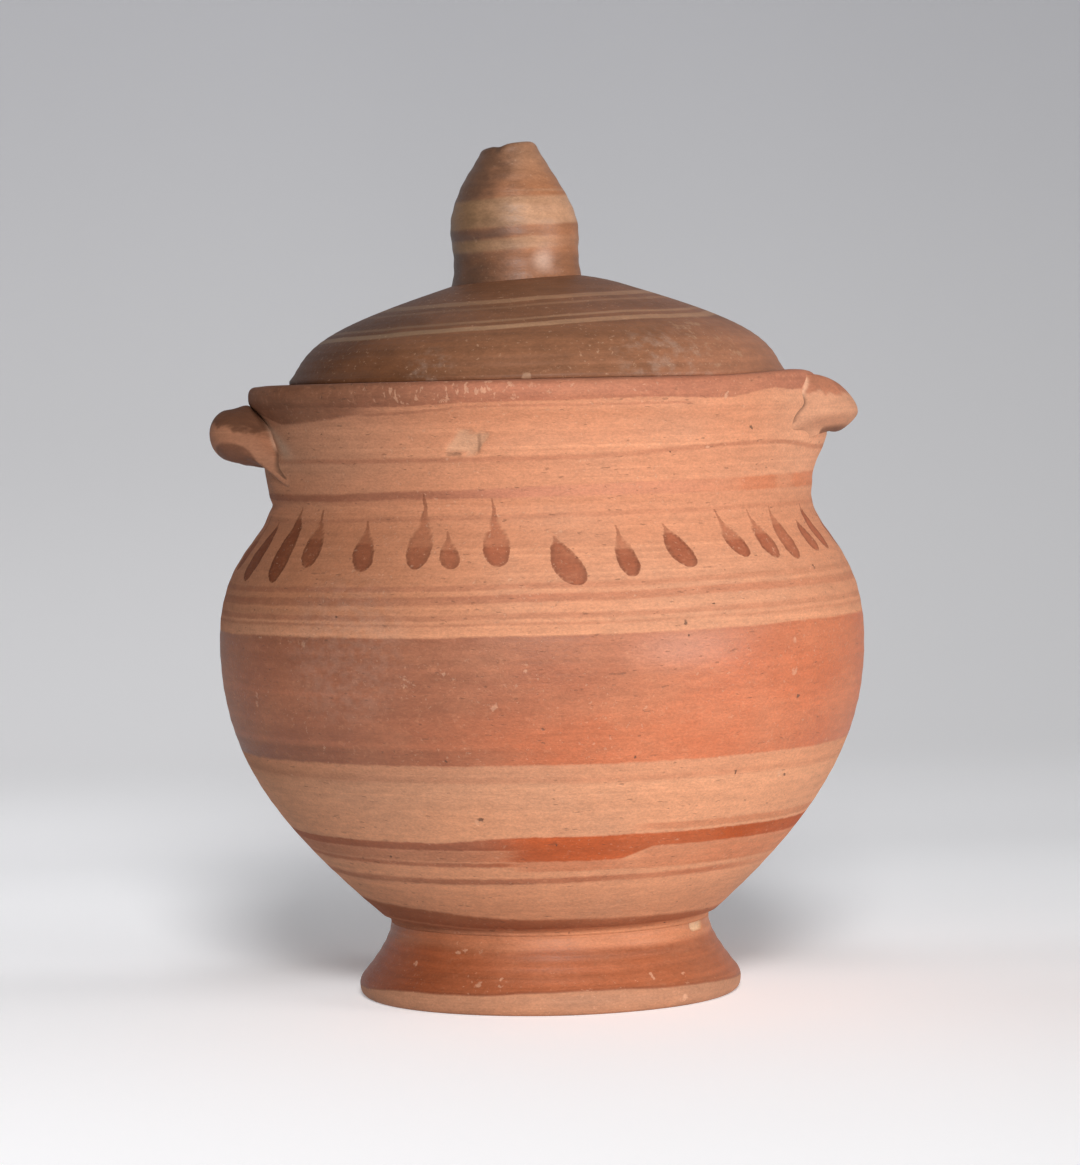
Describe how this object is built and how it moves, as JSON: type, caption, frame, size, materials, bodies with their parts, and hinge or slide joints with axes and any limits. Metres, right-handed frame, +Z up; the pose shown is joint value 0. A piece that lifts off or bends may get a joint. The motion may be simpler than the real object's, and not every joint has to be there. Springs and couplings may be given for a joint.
{
  "type": "lidded stamnos",
  "caption": "Small wheel-thrown terracotta jar on a flared foot, with a wide neck, coil handles under the rim and a domed lid with a hollow knob that lifts off.",
  "frame": {"origin": "on the table under the middle of the foot", "axes": "+Z up through the knob, +X along the line through both handles, towards the right-hand one; the front of the picture looks along +Y"},
  "size_m": [0.13, 0.1286, 0.1695],
  "materials": {
    "foot_slip": "matt red-brown slip",
    "body_clay": "matt buff-orange clay with painted bands",
    "handle_clay": "matt buff-orange clay",
    "lid_slip": "satin brown slip",
    "knob_slip": "satin brown slip with tan bands"
  },
  "bodies": {
    "vessel": {"foot": "foot_slip", "body": "body_clay", "handle_left": "handle_clay", "handle_right": "handle_clay"},
    "lid": {"lid": "lid_slip", "lid_knob": "knob_slip"}
  },
  "joints": [
    {"name": "lid_lift", "type": "slide", "parent": "vessel", "child": "lid", "axis": [0, 0, 1], "range_m": [0, 0.12]}
  ]
}
